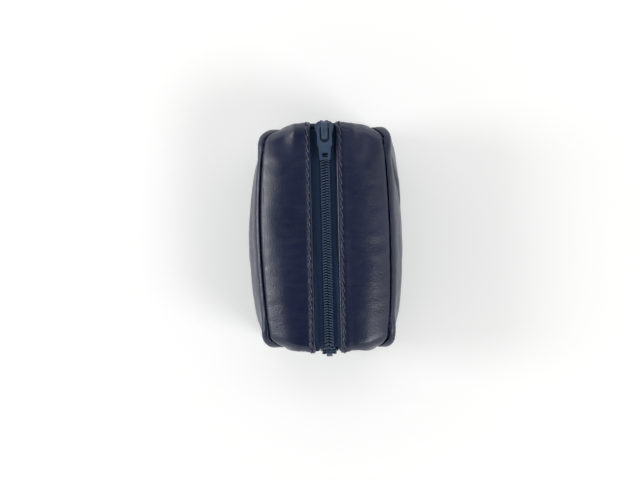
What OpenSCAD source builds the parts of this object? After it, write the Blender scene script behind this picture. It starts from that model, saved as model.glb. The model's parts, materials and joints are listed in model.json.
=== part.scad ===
// Boxy leather pouch with a two-slider coil zip over its top.
// Units are millimetres. X runs across the zip, Y along it, Z up from the table.
// The rear end is +Y and the front end is -Y. The origin is under the middle, on the table.

/* [Body] */
// Length over the two ends
body_l = 108; // [94:1:140]
// Width over the two swollen side panels
body_w = 74; // [62:1:92]
// Height of the leather beside the zip
body_h = 60; // [50:1:74]
// How far each side panel swells past its seam
side_bulge = 6; // [3:0.5:9]
// How far each end swells past the seams at its corners
end_bulge = 4; // [2:0.5:6]
// How far the long top seams lie below the leather beside the zip
seam_drop = 5.5; // [3:0.5:8]
// How high the bottom seams stand off the table
base_lift = 3; // [1.5:0.5:5]
// How much each top seam comes in towards the ends
seam_taper = 2; // [0:0.5:4]
// How far the seams come in where they turn the corners
corner_in = 7; // [0:0.5:9]
// Length over which the seams come in at the corners
corner_run = 10; // [8:0.5:14]
// Corner radius of the side panels
corner_r = 8; // [6:0.5:12]

/* [Leather and lining] */
// Thickness of one layer of leather
leather_t = 1.3; // [0.9:0.1:1.6]
// Thickness of the lining cloth
lining_t = 0.4; // [0.3:0.1:0.8]
// Gap left between two pieces that are sewn together
sewn_gap = 0.3; // [0.2:0.05:0.5]
// Width of the hem folded under each leather edge beside the zip
hem_w = 7; // [5:0.5:9]
// Length of one stitch and its gap
stitch_pitch = 3.85; // [3:0.05:5]
// Radius of the sewing thread
thread_r = 0.3; // [0.2:0.05:0.4]

/* [Zip] */
// Distance from the chain's middle to the left leather edge
left_edge = 6.4; // [5.2:0.1:8]
// Distance from the chain's middle to the right leather edge
right_edge = 5.1; // [5:0.1:8]
// Depth of the tape's face below the leather beside it
zip_depth = 2.4; // [2:0.1:3]
// Width of one tape, from the chain's middle
tape_w = 12.5; // [11:0.5:13]
// Thickness of the tape
tape_t = 0.6; // [0.4:0.1:0.8]
// Width of one coil
coil_w = 2; // [1.8:0.1:2.4]
// Height of the coils over the tape
coil_h = 1.9; // [1.6:0.1:2.2]
// Slot between the two coils
coil_slot = 0.6; // [0.5:0.05:0.8]
// How far the zip runs down each end
zip_drop = 27; // [22:1:32]
// Distance from the rear end of the body to the tape's face there
rear_inset = 1.4; // [1:0.1:3]
// Distance from the front end of the body to the tape's face there
front_inset = 3; // [2.4:0.1:5]
// Radius that the tape's face turns down over
zip_bend_r = 2; // [1.6:0.1:3.5]

/* [Sliders] */
// Length of a slider
slider_l = 10.3; // [9:0.1:12]
// Width over a slider's shoulders
shoulder_w = 8.7; // [8:0.1:9.4]
// Width of a slider's tail
tail_w = 6.4; // [6.2:0.1:7]
// How much shorter a slider's bottom plate is at the nose
plate_setback = 2.4; // [2:0.1:3.2]
// Thickness of a slider's plates
plate_t = 0.9; // [0.7:0.1:1.1]
// Clearance between a slider and the chain inside it
slider_play = 0.3; // [0.2:0.05:0.4]
// Distance from a slider's nose to its pull's crossbar
bar_setback = 2.75; // [2.5:0.05:3.5]
// Radius of the pull's crossbar
bar_r = 0.55; // [0.4:0.05:0.7]
// Length of the cap that holds the crossbar
cap_l = 8.6; // [8:0.1:9]
// Width of the cap
cap_w = 2.8; // [2.6:0.1:3.4]
// Height of the cap over the slider's top plate
cap_h = 2.6; // [2.4:0.1:3.2]
// Length of a pull from its crossbar
pull_l = 15.2; // [12:0.1:20]
// Width of a pull over its ring
pull_w = 6.8; // [6.4:0.1:8]
// Width of a pull at its free end
pull_end_w = 4.9; // [4:0.1:6]
// Thickness of a pull
pull_t = 1.2; // [1:0.1:1.4]

/* [Where the sliders rest] */
// Distance from the rear end of the body to the rear slider's nose
rear_slider_setback = 0.4; // [0.3:0.1:4]
// Depth of the front slider's tail below the leather's top
front_slider_depth = 5.6; // [5.4:0.1:8]
// Distance from the mouth's front end to the zip's front end
mouth_front_inset = 18.2; // [17:0.1:24]
// Distance from the mouth's rear end to the rear slider's pull
mouth_rear_inset = 0.7; // [0.4:0.1:3]

/* [Hidden] */
$fn = 32;
LEFT = -1;
RIGHT = 1;
REAR = 1;
FRONT = -1;
navy = "#232845";
navy_cloth = "#1b2b4d";
navy_metal = "#4a5a78";
navy_thread = "#3c4562";
steel = "#9aa0a8";

// Body
half_l = body_l / 2;
half_top = body_w / 2 - side_bulge;
seam_z = body_h - seam_drop;
seam_y = half_l - end_bulge;
cross_z = body_h - zip_drop;
swell_power = 3;
end_power = 8;
flat_share = 1.6;
edge_in = leather_t + sewn_gap;
lining_in = leather_t + sewn_gap;

// Zip
zip_z = body_h - zip_depth;
face_gap = 0.05;
dip_w = 9;
dip_fade = 12;
coil_out = coil_slot / 2 + coil_w;
tape_in = coil_slot / 2 + 0.5;
stop_l = 2.4;
stop_up = 1.5;

// Sliders
top_plate_z = coil_h + slider_play;
cap_z = top_plate_z + plate_t;
bottom_plate_z = -tape_t - slider_play - plate_t;
channel_w = coil_out + slider_play;
bar_y = slider_l / 2 - bar_setback;
bar_z = cap_z + cap_h / 2 - 0.35;
post_l = 2.4;
pin_y = -2.4;
pin_r = 0.3;
pin_hole_r = 0.5;
rest_tilt = 1.5;
rear_slider_y = half_l - rear_slider_setback - slider_l / 2;
front_slider_z = body_h - front_slider_depth - slider_l / 2;

// Mouth: the stretch of the top that opens
mouth_front_y = -(reach(FRONT) - mouth_front_inset);
mouth_rear_y = rear_slider_y + bar_y - pull_l - mouth_rear_inset;

function mix(a, b, t) = a + (b - a) * t;
function clamp(v) = max(0, min(1, v));

// Distance from the middle to the tape's face at one end
function reach(end) = half_l - (end == REAR ? rear_inset : front_inset);
function lip_edge(side) = side == LEFT ? left_edge : right_edge;
// A hem always reaches past the tape it is sewn to
function hem_out(side) = max(lip_edge(side) + hem_w, tape_w + face_gap);
function hem_end(side) = hem_out(side) + 0.6;

// Half the distance between the side panels' seams at a place along the pouch
function half_w(y) =
    half_top - seam_taper * pow(y / half_l, 2)
    - corner_in * pow(clamp((abs(y) - seam_y + corner_run) / corner_run), 2);

// 1 along the middle of the pouch and 0 at the seams
function fullness(x) = 1 - pow(min(1, abs(x) / half_top), swell_power);
function top_z(x) = body_h - seam_drop * (1 - fullness(x));
function base_z(x) = base_lift * (1 - min(1, fullness(x) * flat_share));

// Each end swells between its corners, and dips to meet a tape that is set deep
function zip_dip(x, end) =
    min(0, reach(end) + zip_depth - half_l) * exp(-pow(max(0, abs(x) - right_edge) / dip_w, 2));
function end_y(x, end, z) =
    half_l - end_bulge * (1 - fullness(x)) + zip_dip(x, end) * clamp((z - cross_z + dip_fade) / dip_fade);

function arc(cy, cz, r, from, to, n) =
    [for (i = [0 : n]) let (a = mix(from, to, i / n)) [cy + r * cos(a), cz + r * sin(a)]];

// A closed solid between two grids of points that have the same rows and columns
module between(outer, inner) {
    rows = len(outer);
    cols = len(outer[0]);
    n = rows * cols;
    function at(r, c) = r * cols + c;
    function quad(a, b, c, d) = [[a, b, c], [a, c, d]];
    points = concat([for (row = outer) each row], [for (row = inner) each row]);
    faces = concat(
        [for (r = [0 : rows - 2]) for (c = [0 : cols - 2])
            each quad(at(r, c), at(r, c + 1), at(r + 1, c + 1), at(r + 1, c))],
        [for (r = [0 : rows - 2]) for (c = [0 : cols - 2])
            each quad(n + at(r, c), n + at(r + 1, c), n + at(r + 1, c + 1), n + at(r, c + 1))],
        [for (r = [0 : rows - 2])
            each quad(at(r, 0), at(r + 1, 0), n + at(r + 1, 0), n + at(r, 0))],
        [for (r = [0 : rows - 2])
            each quad(at(r + 1, cols - 1), at(r, cols - 1), n + at(r, cols - 1), n + at(r + 1, cols - 1))],
        [for (c = [0 : cols - 2])
            each quad(at(0, c + 1), at(0, c), n + at(0, c), n + at(0, c + 1))],
        [for (c = [0 : cols - 2])
            each quad(at(rows - 1, c), at(rows - 1, c + 1), n + at(rows - 1, c + 1), n + at(rows - 1, c))]
    );
    polyhedron(points, faces);
}

// ---- Side panels: a rounded rectangle that swells outwards ----

// A point of the square grid [-1, 1] x [-1, 1] carried onto a rounded rectangle h by v
function on_panel(p, q, h, v, r) =
    let (m = max(abs(p), abs(q)))
    m == 0 ? [0, 0] :
    let (
        y = p / m * h,
        z = q / m * v,
        cy = sign(y) * (h - r),
        cz = sign(z) * (v - r),
        corner = abs(y) > h - r && abs(z) > v - r,
        d = norm([y - cy, z - cz])
    )
    m * (corner ? [cy + (y - cy) / d * r, cz + (z - cz) / d * r] : [y, z]);

function swell(y, z) =
    side_bulge * (1 - pow(min(1, abs(y) / seam_y), end_power))
    * (1 - pow(min(1, abs(z) / ((seam_z - base_lift) / 2)), swell_power));

// The grid has its lines closer together near the seams, where the leather turns
function spread(i, n) = sin(90 * (2 * i / n - 1)) * 0.5 + (2 * i / n - 1) * 0.5;

function panel_grid(side, depth, margin, nu, nv) =
    let (h = seam_y - margin, v = (seam_z - base_lift) / 2 - margin, r = corner_r - margin / 2)
    [for (i = [0 : nu]) [for (j = [0 : nv])
        let (
            at = on_panel(spread(i, nu), spread(j, nv), h, v, r),
            x = half_w(at[0]) + swell(at[0], at[1]) - depth
        )
        [side * x, at[0], at[1] + (seam_z + base_lift) / 2]]];

module side_panel(side) color(navy) {
    outer = panel_grid(side, 0, 0, 20, 12);
    inner = panel_grid(side, leather_t, 0, 20, 12);
    if (side == RIGHT) between(inner, outer);
    else between(outer, inner);
}

module side_lining(side) color(navy_cloth) {
    margin = leather_t + 1;
    outer = panel_grid(side, lining_in, margin, 12, 8);
    inner = panel_grid(side, lining_in + lining_t, margin, 12, 8);
    if (side == RIGHT) between(inner, outer);
    else between(outer, inner);
}

// ---- Gusset: one strip under the pouch and up both ends, to the cross seams ----

function gusset_path(x, inset) =
    let (
        low = base_z(x) + inset,
        r = corner_r - inset,
        steps = [0 : 4],
        top = cross_z - sewn_gap,
        bend_top = base_z(x) + corner_r
    )
    concat(
        [for (i = steps) let (z = mix(top, bend_top, i / 4)) [inset - end_y(x, FRONT, z), z]],
        [for (p = arc(corner_r - end_y(x, FRONT, 0), low + r, r, 180, 270, 5)) p],
        [for (i = [1 : 5]) [mix(corner_r - end_y(x, FRONT, 0), end_y(x, REAR, 0) - corner_r, i / 6), low]],
        [for (p = arc(end_y(x, REAR, 0) - corner_r, low + r, r, 270, 360, 5)) p],
        [for (i = steps) let (z = mix(bend_top, top, i / 4)) [end_y(x, REAR, z) - inset, z]]
    );

function gusset_grid(inset, margin, n) =
    [for (k = [0 : n])
        let (share = 2 * k / n - 1, u = sign(share) * pow(abs(share), 0.8))
        [for (p = gusset_path(u * (half_top - margin), inset)) [u * (half_w(p[0]) - margin), p[0], p[1]]]];

module gusset() color(navy)
    between(gusset_grid(leather_t, edge_in, 12), gusset_grid(0, edge_in, 12));

module gusset_lining() color(navy_cloth) {
    margin = lining_in + lining_t + sewn_gap + 0.2;
    between(gusset_grid(lining_in + lining_t, margin, 6), gusset_grid(lining_in, margin, 6));
}

// ---- Top panels: a leather strip on each side of the zip, with a folded hem ----

// Distances across a strip from the chain's middle, as [distance at the widest place, hemmed]
function strip_rows(side) =
    let (edge = lip_edge(side), out = half_top - edge_in, start = hem_end(side))
    concat(
        [[edge, true], [hem_out(side), true], [start, false]],
        [for (i = [1 : 4]) [mix(start, out, pow(i / 4, 0.8)), false]]
    );

// Past the hem, the place across the strip follows the seam in towards the ends
function across(x, y, side) =
    let (start = hem_end(side), out = half_top - edge_in)
    x < start ? x : mix(start, half_w(y) - edge_in, (x - start) / (out - start));

function mid_rows(side, inner) =
    [for (row = strip_rows(side))
        let (z = top_z(row[0]) - (!inner ? 0 : row[1] ? top_z(row[0]) - zip_z - face_gap : leather_t))
        [for (i = [0 : 6])
            let (y = mix(mouth_front_y, mouth_rear_y, i / 6))
            [side * across(row[0], y, side), y, z]]];

// Over the top, round the bend and down the end, for one place across the strip
function end_rows(side, end, inner) =
    [for (row = strip_rows(side))
        let (
            x = row[0],
            tz = !inner ? 0 : row[1] ? top_z(x) - zip_z - face_gap : leather_t,
            ty = !inner ? 0 : row[1] ? end_y(x, end, body_h) - reach(end) - face_gap : leather_t,
            past_hem = clamp((x - hem_out(side)) / (half_top - edge_in - hem_out(side))),
            r0 = mix(zip_bend_r + zip_depth, corner_r, past_hem),
            r = !inner ? r0 : row[1] ? zip_bend_r + face_gap : max(0.8, r0 - leather_t),
            z = top_z(x) - tz,
            y_end = end_y(x, end, body_h) - ty,
            start = (end == REAR ? mouth_rear_y : -mouth_front_y) + sewn_gap,
            path = concat(
                [for (i = [0 : 2]) [mix(start, y_end - r, i / 3), z]],
                arc(y_end - r, z - r, r, 90, 0, 5),
                [for (i = [1 : 3]) [y_end, mix(z - r, cross_z, i / 3)]]
            )
        )
        [for (p = path) [side * across(x, p[0], side), end * p[0], p[1]]]];

module top_panel(side) color(navy) {
    outer = mid_rows(side, false);
    inner = mid_rows(side, true);
    if (side == RIGHT) between(inner, outer);
    else between(outer, inner);
}

module top_panel_end(side, end) color(navy) {
    outer = end_rows(side, end, false);
    inner = end_rows(side, end, true);
    if (side * end == 1) between(inner, outer);
    else between(outer, inner);
}

// The lining under each strip hides the tape's sewn edge
function top_lining_grid(side, depth) =
    let (from = lip_edge(side) + 1, to = half_top - lining_in - lining_t - 1.4)
    [for (k = [0 : 4])
        let (x = mix(from, to, k / 4))
        [for (i = [0 : 4])
            let (y = mix(mouth_front_y, mouth_rear_y, i / 4))
            [side * (x + (half_w(y) - half_top) * k / 4), y, top_z(x) - depth]]];

module top_lining(side) color(navy_cloth) {
    depth = zip_depth + tape_t + 0.1;
    upper = top_lining_grid(side, depth);
    lower = top_lining_grid(side, depth + lining_t);
    if (side == RIGHT) between(lower, upper);
    else between(upper, lower);
}

// ---- Zip ----

// A flat bar between two distances from the middle and two heights over the tape's face
module flat_bar(side, x0, x1, t0, t1)
    translate([side == RIGHT ? x0 : -x1, mouth_front_y, zip_z + t0])
        cube([x1 - x0, mouth_rear_y - mouth_front_y, t1 - t0]);

// The same bar from the mouth over one end and down its face to a height
module bent_bar(side, end, x0, x1, t0, t1, bottom) {
    y_face = reach(end);
    start = (end == REAR ? mouth_rear_y : -mouth_front_y) + sewn_gap;
    y_bend = y_face - zip_bend_r;
    z_bend = zip_z - zip_bend_r;
    translate([side == RIGHT ? x0 : -x1, 0, 0])
        mirror([0, end == FRONT ? 1 : 0, 0]) rotate([90, 0, 90]) linear_extrude(x1 - x0) {
            translate([start, zip_z + t0]) square([y_bend - start, t1 - t0]);
            translate([y_bend, z_bend]) intersection() {
                difference() {
                    circle(zip_bend_r + t1);
                    circle(zip_bend_r + t0);
                }
                square(2 * zip_bend_r + 2 * t1);
            }
            translate([y_face + t0, bottom]) square([t1 - t0, z_bend - bottom]);
        }
}

module tape(side) color(navy_cloth) flat_bar(side, tape_in, tape_w, -tape_t, 0);

module tape_end(side, end) color(navy_cloth)
    bent_bar(side, end, tape_in, tape_w, -tape_t, 0, cross_z + sewn_gap);

module coil(side) color(navy_metal) flat_bar(side, coil_slot / 2, coil_out, 0, coil_h);

module coil_end(side, end) color(navy_metal)
    bent_bar(side, end, coil_slot / 2, coil_out, 0, coil_h, cross_z + stop_up + stop_l + face_gap);

// Two metal stops clamped on the tape past the coils' ends
module stops(end) color(steel)
    for (side = [LEFT, RIGHT])
        translate([
            side == RIGHT ? coil_slot / 2 + 0.1 : -coil_out - 0.3,
            end == REAR ? reach(end) + face_gap : -reach(end) - face_gap - coil_h,
            cross_z + stop_up
        ])
            cube([coil_w + 0.2, coil_h, stop_l]);

// ---- Stitching ----

topstitch_in = 1.9;
stitch_l = stitch_pitch * 0.78;

// One stitch between two points
module stitch(a, b) {
    d = b - a;
    translate(a) rotate([0, acos(d[2] / norm(d)), atan2(d[1], d[0])]) cylinder(r = thread_r, h = norm(d));
}

module topstitch(side) color(navy_thread) {
    x = side * (lip_edge(side) + topstitch_in);
    z = top_z(x);
    count = floor((mouth_rear_y - mouth_front_y - stitch_l) / stitch_pitch);
    middle = (mouth_rear_y + mouth_front_y - stitch_l) / 2;
    for (i = [0 : count]) {
        y = middle + (i - count / 2) * stitch_pitch;
        stitch([x, y, z], [x, y + stitch_l, z]);
    }
}

module topstitch_ends(side) color(navy_thread)
    for (end = [REAR, FRONT]) {
        x = side * (lip_edge(side) + topstitch_in);
        start = end == REAR ? mouth_rear_y : -mouth_front_y;
        y_end = end_y(x, end, body_h);
        bend = zip_bend_r + zip_depth;
        along = floor((y_end - bend - start) / stitch_pitch) - 1;
        down = floor((top_z(x) - bend - cross_z) / stitch_pitch) - 1;
        for (i = [0 : along]) {
            y = start + (i + 0.5) * stitch_pitch;
            stitch([x, end * y, top_z(x)], [x, end * (y + stitch_l), top_z(x)]);
        }
        for (i = [0 : down]) {
            z = cross_z + (i + 0.5) * stitch_pitch;
            stitch([x, end * y_end, z], [x, end * y_end, z + stitch_l]);
        }
    }

// A place on a side panel's rim, a distance along it from the middle of the top
function rim_point(side, end, s) =
    let (
        h = seam_y,
        v = (seam_z - base_lift) / 2,
        flat = h - corner_r,
        quarter = flat + PI * corner_r / 2 + v - corner_r,
        back = s > quarter,
        q = back ? 2 * quarter - s : s,
        turn = clamp((q - flat) / (PI * corner_r / 2)) * 90,
        past = max(0, q - flat - PI * corner_r / 2),
        y = q < flat ? q : flat + corner_r * sin(turn),
        z = v - corner_r + corner_r * cos(turn) - past
    )
    [side * (half_w(y) - leather_t / 2), end * y, (seam_z + base_lift) / 2 + (back ? -z : z)];

// The stitches of a long seam, seen where it opens, on the rim of the side panel
module seam_thread(side) color(navy_thread) {
    half_lap = 2 * (seam_y - corner_r + PI * corner_r / 2 + (seam_z - base_lift) / 2 - corner_r);
    count = floor(half_lap / stitch_pitch);
    for (end = [REAR, FRONT]) for (i = [0 : count - 1]) {
        s = (i + 0.5) * half_lap / count;
        stitch(rim_point(side, end, s - stitch_l / 2), rim_point(side, end, s + stitch_l / 2));
    }
}

// ---- Sliders, modelled with the nose along +Y and the tape's face at z = 0 ----

module slider_outline() polygon([
    [-tail_w / 2, -slider_l / 2], [tail_w / 2, -slider_l / 2], [tail_w / 2, -slider_l * 0.15],
    [shoulder_w / 2, slider_l * 0.22], [shoulder_w / 2, slider_l * 0.38], [shoulder_w / 2 - 1.6, slider_l / 2],
    [1.6 - shoulder_w / 2, slider_l / 2], [-shoulder_w / 2, slider_l * 0.38],
    [-shoulder_w / 2, slider_l * 0.22], [-tail_w / 2, -slider_l * 0.15]
]);

// The space inside a slider that the coils run through
module slider_channel() polygon([
    [-channel_w, -slider_l], [channel_w, -slider_l], [channel_w, -slider_l * 0.15],
    [shoulder_w / 2 - 0.7, slider_l * 0.22], [shoulder_w / 2 - 0.7, slider_l],
    [0.7 - shoulder_w / 2, slider_l], [0.7 - shoulder_w / 2, slider_l * 0.22],
    [-channel_w, -slider_l * 0.15]
]);

module slider_body() {
    difference() {
        translate([0, 0, slider_play]) linear_extrude(top_plate_z + plate_t - slider_play) slider_outline();
        translate([0, 0, -1]) linear_extrude(top_plate_z + 1) slider_channel();
        translate([0, pin_y, 0]) cylinder(r = pin_hole_r, h = cap_z + 1);
    }
    translate([0, 0, bottom_plate_z]) linear_extrude(plate_t) intersection() {
        slider_outline();
        translate([-shoulder_w / 2, -slider_l / 2]) square([shoulder_w, slider_l - plate_setback]);
    }
    // The post that joins the two plates, in the slot between the coils
    translate([-coil_slot / 4, slider_l / 2 - plate_setback - post_l - 0.2, bottom_plate_z])
        cube([coil_slot / 2, post_l, top_plate_z + plate_t - bottom_plate_z]);
}

module slider_cap() {
    nose = slider_l / 2;
    tail = nose - cap_l;
    roof = cap_z + cap_h;
    difference() {
        translate([-cap_w / 2, 0, 0]) rotate([90, 0, 90]) linear_extrude(cap_w) difference() {
            polygon([
                [tail, cap_z], [nose, cap_z], [nose, cap_z + 0.9], [nose - 0.7, roof - 0.6],
                [nose - 2.4, roof], [tail + 3, roof - 0.1], [tail + 0.9, roof - 0.8], [tail, cap_z + 0.8]
            ]);
            // The tunnel for the pull's crossbar
            translate([bar_y - bar_r - 0.4, cap_z - 1]) square([2 * bar_r + 0.8, bar_z + bar_r + 0.25 - cap_z + 1]);
        }
        translate([-0.5, tail + 0.6, cap_z - 1]) cube([1, bar_y - tail - 0.6, 2.2]);
    }
}

// The spring pin that drops between the coils when the pull is let go
module slider_lock_pin() {
    translate([0, pin_y, coil_h + 0.1]) cylinder(r = pin_r, h = cap_z + 0.7 - coil_h - 0.1);
    translate([-pin_r, pin_y - pin_r, cap_z + 0.3]) cube([2 * pin_r, bar_y - bar_r - 0.5 - pin_y, 0.4]);
}

module pull() {
    ring_in = pull_w / 2 - 1.2;
    // The ring reaches past its crossbar only as far as it can swing over the slider
    swing_r = bar_z - cap_z - 0.05;
    over = sqrt(pow(swing_r, 2) - pow(pull_t / 2, 2));
    ring_end = 7.2;
    hole_w = 2.7;
    hole_l = 2.2;
    translate([0, 0, -pull_t / 2]) linear_extrude(pull_t) difference() {
        polygon([
            [-pull_w / 2 + 0.5, over], [pull_w / 2 - 0.5, over], [pull_w / 2, over - 0.5], [pull_w / 2, -ring_end - 1.2],
            [pull_w / 2 - 0.5, -ring_end - 1.9], [pull_end_w / 2, -pull_l], [-pull_end_w / 2, -pull_l],
            [0.5 - pull_w / 2, -ring_end - 1.9], [-pull_w / 2, -ring_end - 1.2], [-pull_w / 2, over - 0.5]
        ]);
        translate([0, ring_in - ring_end]) circle(ring_in);
        translate([-ring_in, ring_in - ring_end]) square([2 * ring_in, ring_end + 2]);
        translate([-hole_w / 2, 1.1 - pull_l]) square([hole_w, hole_l]);
    }
    rotate([0, 90, 0]) cylinder(r = bar_r, h = 2 * ring_in + 0.6, center = true);
}

module at_rear_slider() translate([0, rear_slider_y, zip_z]) children();

module at_front_slider()
    translate([0, -reach(FRONT), front_slider_z]) rotate([90, 0, 0]) rotate([0, 0, 180]) children();

module rear_slider_body() color(navy_metal) at_rear_slider() slider_body();
module rear_slider_cap() color(navy_metal) at_rear_slider() slider_cap();
module rear_slider_lock_pin() color(steel) at_rear_slider() slider_lock_pin();
module rear_pull() color(navy_metal)
    at_rear_slider() translate([0, bar_y, bar_z]) rotate([rest_tilt, 0, 0]) pull();

module front_slider_body() color(navy_metal) at_front_slider() slider_body();
module front_slider_cap() color(navy_metal) at_front_slider() slider_cap();
module front_slider_lock_pin() color(steel) at_front_slider() slider_lock_pin();
// This pull hangs down the end, past the slider's nose
module front_pull() color(navy_metal)
    at_front_slider() translate([0, bar_y, bar_z]) rotate([0, 0, 180]) pull();

side_panel(LEFT);  // left_side_panel
side_panel(RIGHT);  // right_side_panel
gusset();
side_lining(LEFT);  // left_side_lining
side_lining(RIGHT);  // right_side_lining
gusset_lining();
top_panel(LEFT);  // left_top_panel
top_panel_end(LEFT, REAR);  // left_top_panel_rear
top_panel_end(LEFT, FRONT);  // left_top_panel_front
top_panel(RIGHT);  // right_top_panel
top_panel_end(RIGHT, REAR);  // right_top_panel_rear
top_panel_end(RIGHT, FRONT);  // right_top_panel_front
top_lining(LEFT);  // left_top_lining
top_lining(RIGHT);  // right_top_lining
tape(LEFT);  // left_tape
tape_end(LEFT, REAR);  // left_tape_rear
tape_end(LEFT, FRONT);  // left_tape_front
tape(RIGHT);  // right_tape
tape_end(RIGHT, REAR);  // right_tape_rear
tape_end(RIGHT, FRONT);  // right_tape_front
coil(LEFT);  // left_coil
coil_end(LEFT, REAR);  // left_coil_rear
coil_end(LEFT, FRONT);  // left_coil_front
coil(RIGHT);  // right_coil
coil_end(RIGHT, REAR);  // right_coil_rear
coil_end(RIGHT, FRONT);  // right_coil_front
stops(REAR);  // rear_stops
stops(FRONT);  // front_stops
topstitch(LEFT);  // left_topstitch
topstitch_ends(LEFT);  // left_topstitch_ends
topstitch(RIGHT);  // right_topstitch
topstitch_ends(RIGHT);  // right_topstitch_ends
seam_thread(LEFT);  // left_seam_thread
seam_thread(RIGHT);  // right_seam_thread
rear_slider_body();
rear_slider_cap();
rear_slider_lock_pin();
rear_pull();
front_slider_body();
front_slider_cap();
front_slider_lock_pin();
front_pull();
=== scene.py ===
import json
import math

import bmesh
import bpy
import numpy as np
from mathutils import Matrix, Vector, noise


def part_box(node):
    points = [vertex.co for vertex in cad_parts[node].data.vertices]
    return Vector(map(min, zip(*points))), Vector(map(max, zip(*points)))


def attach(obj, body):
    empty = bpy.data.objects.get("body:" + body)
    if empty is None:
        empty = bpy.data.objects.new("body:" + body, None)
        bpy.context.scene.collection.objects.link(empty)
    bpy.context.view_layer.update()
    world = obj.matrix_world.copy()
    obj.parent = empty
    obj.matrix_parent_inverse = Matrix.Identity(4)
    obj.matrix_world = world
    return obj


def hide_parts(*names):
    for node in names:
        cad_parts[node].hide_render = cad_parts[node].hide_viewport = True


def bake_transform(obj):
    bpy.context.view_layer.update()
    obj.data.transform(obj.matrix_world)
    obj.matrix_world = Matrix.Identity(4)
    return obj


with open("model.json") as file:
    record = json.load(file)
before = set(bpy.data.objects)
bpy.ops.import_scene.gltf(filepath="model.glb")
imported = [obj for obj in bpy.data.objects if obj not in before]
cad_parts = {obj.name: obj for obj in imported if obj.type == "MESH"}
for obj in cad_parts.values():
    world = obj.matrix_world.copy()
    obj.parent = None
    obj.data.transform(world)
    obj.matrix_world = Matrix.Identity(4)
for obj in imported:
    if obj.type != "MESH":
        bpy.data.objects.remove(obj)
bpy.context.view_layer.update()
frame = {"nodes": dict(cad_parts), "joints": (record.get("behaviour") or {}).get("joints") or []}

# Lengths in this script are in millimetres until a mesh is made. MM turns them into metres.
MM = 0.001
LEFT, RIGHT = -1, 1
REAR, FRONT = 1, -1
SIDE_WORD = {LEFT: "left", RIGHT: "right"}
END_WORD = {REAR: "rear", FRONT: "front"}


# ---- Sizes read from the model ----

def cad_box(node):
    """The lowest and highest corner of a node at rest."""
    low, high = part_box(node)
    return np.array(low) / MM, np.array(high) / MM


side_low, side_high = cad_box("right_side_panel")
strip_low, strip_high = cad_box("right_top_panel")
left_strip_high = cad_box("left_top_panel")[1]
base_high = cad_box("gusset")[1]
tape_high = cad_box("right_tape")[1]
coil_low, coil_high = cad_box("right_coil")

half_l = base_high[1]                 # middle to either end
body_h = round(strip_high[2], 1)      # leather beside the zip
seam_roll = 0.8                       # the sewn rim rolls this far past the CAD's side panel
seam_y, seam_z, base_lift = side_high[1] + seam_roll, side_high[2], side_low[2]
side_half_h = (seam_z - base_lift) / 2
side_mid_z = (seam_z + base_lift) / 2
sewn_edge = 1.6                       # the CAD strip stops this far inside its seam
half_top = strip_high[0] + sewn_edge  # middle to the long seams, at the widest place
end_bulge = half_l - seam_y
seam_drop = body_h - seam_z
corner_r = 8.0
cross_z = cad_box("right_top_panel_rear")[0][2]
lip_edge = {LEFT: -left_strip_high[0], RIGHT: strip_low[0]}
zip_z = tape_high[2]
tape_w = tape_high[0]
zip_depth = body_h - zip_z
zip_bend_r = 2.0
coil_h = coil_high[2] - coil_low[2]
coil_half = coil_high[0]
reach = {REAR: cad_box("right_tape_rear")[1][1], FRONT: -cad_box("right_tape_front")[0][1]}
split_y = 2.0                         # where the two halves of each lip meet
hinge = {j["name"]: np.array(j["pos_m"]) / MM for j in frame["joints"] if j["type"] == "hinge"}
fold_x = abs(hinge["right_lip_open"][0])

leather_t = 1.0
cloth_t = 0.3
hem_w = 7.0                           # leather turned in under each lip
hem_r = 1.15                          # round the turned edge
stitch_pitch = 3.85
stitch_length = 3.1
topstitch_in = 1.9                    # from the lip's edge to its row of stitches
corner_run = 5.6                      # the corners are drawn in over this length at each end
tape_half = 5.1                       # the tape in sight, on either side of the middle


# ---- The pouch's shape ----

def mix(a, b, t):
    """From a to b by the share t."""
    return a + (b - a) * t


def clamp(v):
    """Held between 0 and 1."""
    return np.clip(v, 0.0, 1.0)


def smooth(v):
    """An eased step from 0 to 1."""
    v = clamp(v)
    return v * v * (3 - 2 * v)


def curve(degree, *points):
    """A smooth line through measured points (along, out)."""
    along, out = np.array(points).T
    return np.poly1d(np.polyfit(along, out, degree))


# Middle to each long seam and to each side panel's fullest place, along the pouch. The hand-sewn pouch isn't even.
SEAM = {
    LEFT: curve(3, (-52, 28.2), (-43, 29.3), (-32, 30.2), (-16, 31), (0, 31.6), (17, 31.7), (40, 29.9), (52, 28)),
    RIGHT: curve(3, (-52, 28.2), (-45, 28.7), (-34, 29.6), (-17, 30.4), (-1, 30.4), (15, 29.9), (31, 29.4),
                 (43, 28.7), (52, 28))}
OUTLINE = {
    LEFT: curve(5, (-50, 30.3), (-44, 33), (-33, 35.6), (-18, 37.1), (-4, 37.4), (10, 37), (18, 36.3), (26, 35.1),
                (35, 32.9), (46, 29), (50, 27)),
    RIGHT: curve(5, (-50, 30.7), (-44, 32.2), (-33, 34.5), (-18, 35.8), (-4, 36.6), (10, 36.4), (18, 36), (26, 35.4),
                 (35, 34.7), (46, 33), (50, 32.2))}
# How far each corner of the top is drawn in
CORNER_IN = {(LEFT, REAR): 7.0, (RIGHT, REAR): 5.5, (LEFT, FRONT): 6.5, (RIGHT, FRONT): 5.0}
# Share of that which a side panel's rolled rim makes up again beyond the seam
EAR = {(LEFT, REAR): 0.1, (RIGHT, REAR): 0.35, (LEFT, FRONT): 0.3, (RIGHT, FRONT): 0.3}


def at_corner(table, y, side):
    """A corner table's value for the nearer end."""
    return np.where(y > 0, table[side, REAR], table[side, FRONT])


def drawn_in(y, side):
    """How far the long seam comes in towards its corners."""
    return clamp((np.abs(y) - seam_y + corner_run) / corner_run) ** 2 * at_corner(CORNER_IN, y, side)


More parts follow.
